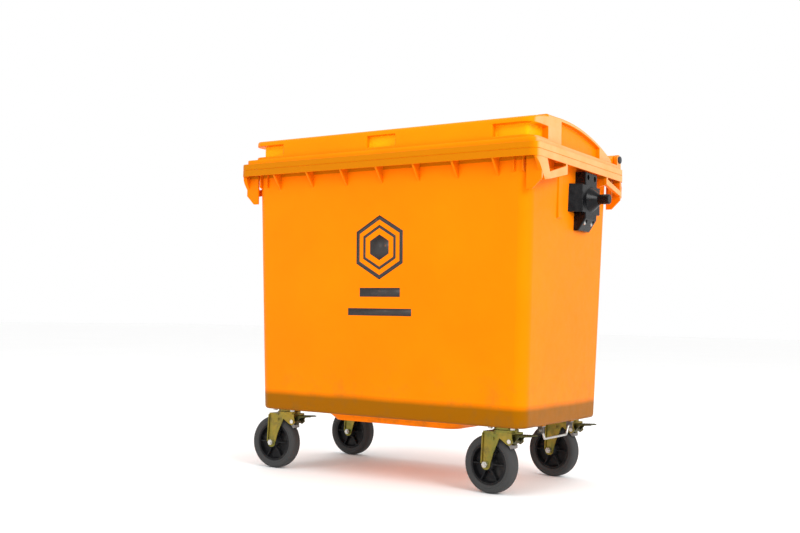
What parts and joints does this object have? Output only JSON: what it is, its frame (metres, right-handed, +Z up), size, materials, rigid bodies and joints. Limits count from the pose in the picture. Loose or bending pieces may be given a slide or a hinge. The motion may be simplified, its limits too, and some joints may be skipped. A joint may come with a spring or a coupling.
{
  "type": "wheeled waste container",
  "caption": "Large rectangular wheeled waste container with arched hinged lid, side lifting pins and swivelling braked casters.",
  "frame": {"origin": "on the floor, under the middle of the whole object's box", "axes": "+X along the long side to the right seen from the front, +Y to the hinge side, +Z up"},
  "size_m": [1.4, 0.8196, 1.2935],
  "materials": {
    "orange_plastic": "moulded HDPE, satin, fine grain",
    "black_plastic": "moulded, semi-gloss black",
    "grey_plastic": "dark grey caps",
    "wheel_plastic": "moulded black wheel centre",
    "tyre_rubber": "solid black rubber",
    "rubber_seal": "soft seal",
    "zinc_steel": "yellow-passivated zinc plate",
    "steel_rod": "bright zinc",
    "dark_steel": "dark stamped steel"
  },
  "bodies": {
    "tub": {"caster_plate_bolts": "zinc_steel", "drain_seal": "rubber_seal", "front_left_kingpin": "zinc_steel", "front_left_top_plate": "zinc_steel", "front_right_kingpin": "zinc_steel", "front_right_top_plate": "zinc_steel", "hinge_rod_caps": "grey_plastic", "hinge_rod_left": "steel_rod", "hinge_rod_right": "steel_rod", "rear_left_kingpin": "zinc_steel", "rear_left_top_plate": "zinc_steel", "rear_right_kingpin": "zinc_steel", "rear_right_top_plate": "zinc_steel", "side_bow_brackets": "steel_rod", "trunnion_bolts": "zinc_steel", "trunnion_left": "black_plastic", "trunnion_right": "black_plastic", "tub_corners": "orange_plastic", "tub_end_walls": "orange_plastic", "tub_floor": "orange_plastic", "tub_long_walls": "orange_plastic"},
    "lid": {"lid_shell": "orange_plastic"},
    "side_bow": {"side_bow": "steel_rod"},
    "drain_plug": {"drain_plug": "black_plastic"},
    "front_left_yoke": {"front_left_fork": "zinc_steel", "front_left_ball_race": "zinc_steel", "front_left_axle": "zinc_steel", "front_left_brake_pin": "zinc_steel"},
    "front_left_wheel": {"front_left_tyre": "tyre_rubber", "front_left_wheel_rim": "wheel_plastic", "front_left_wheel_bearing": "zinc_steel"},
    "front_left_brake": {"front_left_brake_pedal": "zinc_steel", "front_left_brake_shoe": "dark_steel"},
    "front_right_yoke": {"front_right_fork": "zinc_steel", "front_right_ball_race": "zinc_steel", "front_right_axle": "zinc_steel", "front_right_brake_pin": "zinc_steel"},
    "front_right_wheel": {"front_right_tyre": "tyre_rubber", "front_right_wheel_rim": "wheel_plastic", "front_right_wheel_bearing": "zinc_steel"},
    "front_right_brake": {"front_right_brake_pedal": "zinc_steel", "front_right_brake_shoe": "dark_steel"},
    "rear_right_yoke": {"rear_right_fork": "zinc_steel", "rear_right_ball_race": "zinc_steel", "rear_right_axle": "zinc_steel", "rear_right_brake_pin": "zinc_steel"},
    "rear_right_wheel": {"rear_right_tyre": "tyre_rubber", "rear_right_wheel_rim": "wheel_plastic", "rear_right_wheel_bearing": "zinc_steel"},
    "rear_right_brake": {"rear_right_brake_pedal": "zinc_steel", "rear_right_brake_shoe": "dark_steel"},
    "rear_left_yoke": {"rear_left_fork": "zinc_steel", "rear_left_ball_race": "zinc_steel", "rear_left_axle": "zinc_steel", "rear_left_brake_pin": "zinc_steel"},
    "rear_left_wheel": {"rear_left_tyre": "tyre_rubber", "rear_left_wheel_rim": "wheel_plastic", "rear_left_wheel_bearing": "zinc_steel"},
    "rear_left_brake": {"rear_left_brake_pedal": "zinc_steel", "rear_left_brake_shoe": "dark_steel"}
  },
  "joints": [
    {"name": "lid_hinge", "type": "hinge", "parent": "tub", "child": "lid", "pos_m": [0, 0.38975, 1.22], "axis": [-1, 0, 0], "range_deg": [0, 250]},
    {"name": "side_bow_swing", "type": "hinge", "parent": "tub", "child": "side_bow", "pos_m": [0.548, -0.04525, 0.214], "axis": [0, -1, 0], "range_deg": [-60, 100]},
    {"name": "drain_plug_turn", "type": "hinge", "parent": "tub", "child": "drain_plug", "pos_m": [0, -0.14225, 0.2], "axis": [0, 0, 1], "range_deg": [0, 90]},
    {"name": "front_left_swivel", "type": "hinge", "parent": "tub", "child": "front_left_yoke", "pos_m": [-0.47, -0.27425, 0.21], "axis": [0, 0, 1], "continuous": true},
    {"name": "front_left_wheel_roll", "type": "hinge", "parent": "front_left_yoke", "child": "front_left_wheel", "pos_m": [-0.52692, -0.27723, 0.1], "axis": [-0.0523, 0.9986, 0], "continuous": true},
    {"name": "front_left_brake_press", "type": "hinge", "parent": "front_left_yoke", "child": "front_left_brake", "pos_m": [-0.43205, -0.27226, 0.185], "axis": [-0.0523, 0.9986, 0], "range_deg": [0, 14]},
    {"name": "front_right_swivel", "type": "hinge", "parent": "tub", "child": "front_right_yoke", "pos_m": [0.47, -0.27425, 0.21], "axis": [0, 0, 1], "continuous": true},
    {"name": "front_right_wheel_roll", "type": "hinge", "parent": "front_right_yoke", "child": "front_right_wheel", "pos_m": [0.41342, -0.2673, 0.1], "axis": [0.1219, 0.9925, 0], "continuous": true},
    {"name": "front_right_brake_press", "type": "hinge", "parent": "front_right_yoke", "child": "front_right_brake", "pos_m": [0.50772, -0.27888, 0.185], "axis": [0.1219, 0.9925, 0], "range_deg": [0, 14]},
    {"name": "rear_right_swivel", "type": "hinge", "parent": "tub", "child": "rear_right_yoke", "pos_m": [0.47, 0.22975, 0.21], "axis": [0, 0, 1], "continuous": true},
    {"name": "rear_right_wheel_roll", "type": "hinge", "parent": "rear_right_yoke", "child": "rear_right_wheel", "pos_m": [0.41342, 0.2367, 0.1], "axis": [0.1219, 0.9925, 0], "continuous": true},
    {"name": "rear_right_brake_press", "type": "hinge", "parent": "rear_right_yoke", "child": "rear_right_brake", "pos_m": [0.50772, 0.22512, 0.185], "axis": [0.1219, 0.9925, 0], "range_deg": [0, 14]},
    {"name": "rear_left_swivel", "type": "hinge", "parent": "tub", "child": "rear_left_yoke", "pos_m": [-0.47, 0.22975, 0.21], "axis": [0, 0, 1], "continuous": true},
    {"name": "rear_left_wheel_roll", "type": "hinge", "parent": "rear_left_yoke", "child": "rear_left_wheel", "pos_m": [-0.527, 0.22975, 0.1], "axis": [0, 1, 0], "continuous": true},
    {"name": "rear_left_brake_press", "type": "hinge", "parent": "rear_left_yoke", "child": "rear_left_brake", "pos_m": [-0.432, 0.22975, 0.185], "axis": [0, 1, 0], "range_deg": [0, 14]}
  ]
}
